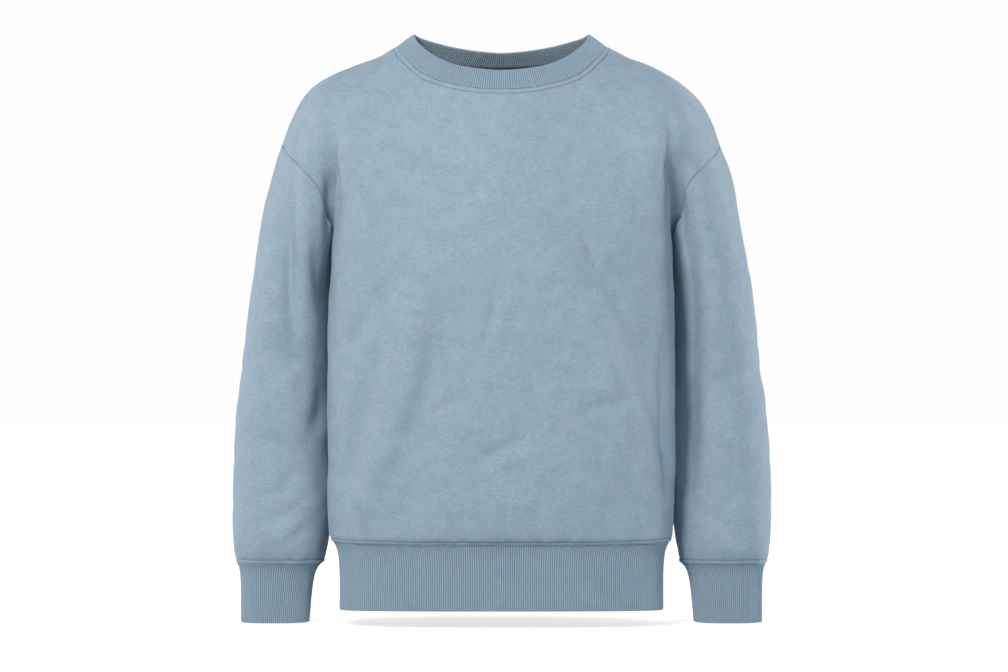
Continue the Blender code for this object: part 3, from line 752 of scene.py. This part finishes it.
ribs = {
    "steps": 6,  # columns of squares to a rib
    "depth": 0.0011,
    "sharpness": 0.8,  # of the rib's section: 1 is a plain half wave
    "shallowAtSeam": 0.3,
    "shallowLength": 0.003,
    "flatterInFold": 0.45,
    "wall": 0.0032,
    "pitch": 0.0026,
    "tuck": 0.0006,  # how far it goes down into the seam
    "tuckLength": 0.0035,
    "proud": 0.0005,  # how far it stands out over the frame
    "seamRows": (0, 0.0015, 0.0035, 0.006),  # rows of squares next to the seam
    "foldSteps": 5,
    "cornerRound": {"collar": 0.0, "hem_band": 0.0065, "left_cuff": 0.003, "right_cuff": 0.003},
    "cornerReach": 0.02,
    "outsideRows": {"collar": 8, "hem_band": 12, "left_cuff": 12, "right_cuff": 12},
    "insideRows": 6,
    "mergeWithin": 1e-6,
}


def ringsOf(node):  # rings of points down a ribbed piece from its seam, and their outward normals
    bm = pieceOf(plain, node)
    bm.normal_update()
    rows = rowsOf(bm, lowest=node == "collar")[0]
    grid = np.array([[v.co for v in row] for row in rows])
    out = np.array([[v.normal for v in row] for row in rows])
    bm.free()
    return grid, out


def lengthRound(ring):  # how far round a closed ring each of its points is, and all the way
    steps = np.diff(np.concatenate([ring, ring[:1]]), axis=0)
    return np.concatenate([[0], np.linalg.norm(steps, axis=1).cumsum()])


def ribbed(name, node):
    grid, out = ringsOf(node)
    around = lengthRound(grid[len(grid) // 2])
    ribCount = int(round(around[-1] / ribs["pitch"]))
    columns = ribCount * ribs["steps"]
    spots = np.interp(np.arange(columns) / columns * around[-1], around, np.arange(len(around)))
    low, part = np.floor(spots).astype(int), (spots % 1)[None, :, None]
    size = grid.shape[1]
    grid = grid[:, low % size] * (1 - part) + grid[:, (low + 1) % size] * part
    out = out[:, low % size] * (1 - part) + out[:, (low + 1) % size] * part
    down = np.concatenate([[0], np.linalg.norm(np.diff(grid, axis=0), axis=2).mean(1).cumsum()])
    tall, r = down[-1], ribs["wall"] / 2
    # the way round the doubled band: outside from the seam, over the fold, back up the inside
    *atSeam, below = ribs["seamRows"]
    outside = np.linspace(below, tall - r, ribs["outsideRows"][node])
    path = [(v, 0.0) for v in np.concatenate([atSeam, outside])]
    path += [(tall - r, a) for a in np.linspace(0, np.pi, ribs["foldSteps"] + 2)[1:-1]]
    path += [(v, np.pi) for v in np.linspace(tall - r, 0, ribs["insideRows"])]
    phase = np.arange(columns) / ribs["steps"] % 1
    height = np.abs(np.sin(np.pi * phase)) ** ribs["sharpness"] - 1
    bm = bmesh.new()
    laid = bm.loops.layers.uv.new("laid")
    paintedShade = bm.verts.layers.float.new("paintedShade")
    bmesh.ops.create_grid(bm, x_segments=columns, y_segments=len(path), size=0.5)
    table = np.empty((len(path), columns, 3))
    for j, (v, turn) in enumerate(path):
        at = np.interp(v, down, np.arange(len(down)))
        k = min(int(at), len(down) - 2)
        f = at - k
        base = grid[k] * (1 - f) + grid[k + 1] * f
        face = out[k] * (1 - f) + out[k + 1] * f
        face /= np.linalg.norm(face, axis=1)[:, None]
        fall = grid[k + 1] - grid[k]
        fall /= np.linalg.norm(fall, axis=1)[:, None]
        way = face * math.cos(turn) + fall * math.sin(turn)
        tuck = ribs["tuck"] * np.interp(v, (0, ribs["tuckLength"]), (1, 0)) if turn == 0 else 0
        fade = np.interp(v, (0, ribs["shallowLength"]), (ribs["shallowAtSeam"], 1))
        fade *= 1 - ribs["flatterInFold"] * math.sin(turn)
        rise = way * (height * ribs["depth"] * fade)[:, None]
        table[j] = base - face * (r + tuck - ribs["proud"]) + way * r + rise
    corner = ribs["cornerRound"][node]
    if corner:  # its lower corners turn up a little at both sides
        middleX = (table[..., 0].max() + table[..., 0].min()) / 2
        fromSide = np.abs(table[..., 0] - middleX) - (table[..., 0].max() - middleX - corner)
        turned = 1 - np.sqrt(1 - np.clip(fromSide / corner, 0, 1) ** 2)
        depthOf = np.array([v for v, turn in path])[:, None]
        reachDown = np.clip((depthOf - tall + ribs["cornerReach"]) / ribs["cornerReach"], 0, 1)
        table[..., 2] += corner * turned * reachDown
    for v in bm.verts:
        i, j = round((v.co.x + 0.5) * columns), round((v.co.y + 0.5) * len(path))
        for loop in v.link_loops:
            loop[laid].uv = (i / columns * around[-1], path[j % len(path)][0])
        # painted shade in the rib grooves: full down in a groove, none on a rib's crest
        v[paintedShade] = -height[i % columns]
        v.co = table[j % len(path), i % columns]
    bmesh.ops.remove_doubles(bm, verts=bm.verts, dist=ribs["mergeWithin"])
    bmesh.ops.recalc_face_normals(bm, faces=bm.faces)
    obj = objectFrom(name, bm, ribMaterial, node)
    print(f"{name}: {ribCount} ribs, {around[-1]:.3f} by {tall:.3f} m")


for node, name in ribNames.items():
    ribbed(name, node)

stitching = {
    "names": {
        "collar": "neckStitching",
        "hem_band": "hemStitching",
        "left_cuff": "leftCuffStitching",
        "right_cuff": "rightCuffStitching",
    },
    "away": 0.0060,  # from the seam
    "every": 0.0030,
    "long": 0.0023,
    "wide": 0.00055,
    "high": 0.00045,
    "above": 0.0001,  # its middle over the cloth
    "nearBand": 0.012,  # a point of the line this close to a ribbed piece's seam is beside it
    "spread": 0.006,  # a stitch lies at the middle of the points within this
}
ends = np.array([e.vertices for e in skin.edges])
near, far = away["rib"][ends[:, 0]], away["rib"][ends[:, 1]]
crossing = (near - stitching["away"]) * (far - stitching["away"]) < 0
share = ((stitching["away"] - near) / (far - near + 1e-12))[crossing, None]
first, second = ends[crossing].T
lineSpots = shaped[first] * (1 - share) + shaped[second] * share
lineNormals = normals[first] * (1 - share) + normals[second] * share


def stitched(name, node):  # one line of stitches beside a ribbed piece's seam
    ring = ringsOf(node)[0][0]
    run = lengthRound(ring)
    tree = KDTree(len(ring))
    for i, spot in enumerate(ring):
        tree.insert(spot, i)
    tree.balance()
    found = [tree.find(spot)[1:] for spot in lineSpots]
    mine = np.array([d < stitching["nearBand"] for _, d in found])
    place = np.array([run[i] for i, _ in found])[mine]
    spots, ups = lineSpots[mine], lineNormals[mine]
    count = int(round(run[-1] / stitching["every"]))
    centres = []
    for k in range(count):
        off = np.abs((place - k * run[-1] / count + run[-1] / 2) % run[-1] - run[-1] / 2)
        weight = np.clip(1 - off / stitching["spread"], 0, 1)[:, None]
        if weight.sum() == 0:
            continue
        centre, up = (spots * weight).sum(0) / weight.sum(), (ups * weight).sum(0) / weight.sum()
        centres.append((centre, up))
    bm = bmesh.new()
    bm.loops.layers.uv.new("laid")
    for k, (centre, up) in enumerate(centres):
        along = Vector(centres[(k + 1) % len(centres)][0] - centres[k - 1][0]).normalized()
        up = Vector(up).normalized()
        across = up.cross(along).normalized()
        place = Matrix.Translation(Vector(centre) + up * stitching["above"])
        turn = Matrix((along, across, along.cross(across))).transposed().to_4x4()
        size = Matrix.Diagonal((stitching["long"], stitching["wide"], stitching["high"], 1))
        bmesh.ops.create_uvsphere(
            bm, u_segments=6, v_segments=4, radius=0.5, matrix=place @ turn @ size
        )
    objectFrom(name, bm, threadMaterial)
    print(f"{name}: {len(centres)} stitches")


for node, name in stitching["names"].items():
    stitched(name, node)

stage = {
    "floorZ": -0.6925,
    "floorRadius": 9.0,
    "floorColour": (0.92, 0.72, 0.60, 1),
    "floorGlow": 0.70,
    "cameraAt": (0.003, -4.0, -0.3486),
    "lens": 119.0,
    "lookAt": (0, 0, -0.35),  # where the lights point
    "lightColour": (1.0, 0.94, 0.87),
    "lights": {  # place, size across and power of each
        "key": ((-1.35, -3.0, 1.30), 0.9, 84.0),
        "leftSide": ((-2.4, 0.9, -0.45), 1.2, 30.0),
        "rightSide": ((2.4, 0.9, -0.45), 1.2, 56.0),
        "fill": ((2.1, -3.2, 0.2), 1.6, 17.0),
    },
    "roomColour": (0.78, 1.0, 1.20, 1),
    "roomStrength": 0.42,
    "seenColour": (0.985, 0.985, 0.985, 1),  # the room as seen, brighter than its light
}
bm = bmesh.new()
bmesh.ops.create_circle(bm, cap_ends=True, segments=64, radius=stage["floorRadius"])
bmesh.ops.translate(bm, vec=(0.0, 0.0, stage["floorZ"]), verts=bm.verts)
mesh = bpy.data.meshes.new("floor")
bm.to_mesh(mesh)
bm.free()
floor = bpy.data.objects.new("floor", mesh)
bpy.context.scene.collection.objects.link(floor)
paper = bpy.data.materials.new("palePaper")
paper.use_nodes = True
paperShader = paper.node_tree.nodes["Principled BSDF"]
paperShader.inputs["Base Color"].default_value = stage["floorColour"]
paperShader.inputs["Roughness"].default_value = 1.0
paperShader.inputs["Specular IOR Level"].default_value = 0.0
paperShader.inputs["Emission Color"].default_value = (1, 1, 1, 1)
paperShader.inputs["Emission Strength"].default_value = stage["floorGlow"]
mesh.materials.append(paper)
floor.visible_diffuse = False  # it throws no light up onto the cloth


def softLight(name, at, size, power):
    light = bpy.data.lights.new(name, "AREA")
    light.shape, light.size, light.energy = "DISK", size, power
    light.color = stage["lightColour"]
    obj = bpy.data.objects.new(name, light)
    bpy.context.scene.collection.objects.link(obj)
    obj.location = at
    obj.rotation_mode = "QUATERNION"
    obj.rotation_quaternion = (Vector(stage["lookAt"]) - Vector(at)).to_track_quat("-Z", "Y")


for name, light in stage["lights"].items():
    softLight(name + "Light", *light)
world = bpy.data.worlds.new("room")
bpy.context.scene.world = world
world.use_nodes = True
worldTree = world.node_tree
roomLight = worldTree.nodes["Background"]
roomLight.inputs["Color"].default_value = stage["roomColour"]
roomLight.inputs["Strength"].default_value = stage["roomStrength"]
seenRoom = worldTree.nodes.new("ShaderNodeBackground")
seenRoom.inputs["Color"].default_value = stage["seenColour"]
lightPath = worldTree.nodes.new("ShaderNodeLightPath")
either = worldTree.nodes.new("ShaderNodeMixShader")
worldTree.links.new(lightPath.outputs["Is Camera Ray"], either.inputs["Fac"])
worldTree.links.new(roomLight.outputs["Background"], either.inputs[1])
worldTree.links.new(seenRoom.outputs["Background"], either.inputs[2])
worldTree.links.new(either.outputs["Shader"], worldTree.nodes["World Output"].inputs["Surface"])
bpy.context.scene.view_settings.view_transform = "Standard"

cameraData = bpy.data.cameras.new("camera")
cameraData.lens, cameraData.sensor_width = stage["lens"], 36.0
cameraData.clip_start, cameraData.clip_end = 0.1, 60.0
camera = bpy.data.objects.new("camera", cameraData)
bpy.context.scene.collection.objects.link(camera)
camera.location = stage["cameraAt"]
camera.rotation_euler = (math.pi / 2, 0, 0)
bpy.context.scene.camera = camera
print("stage set")
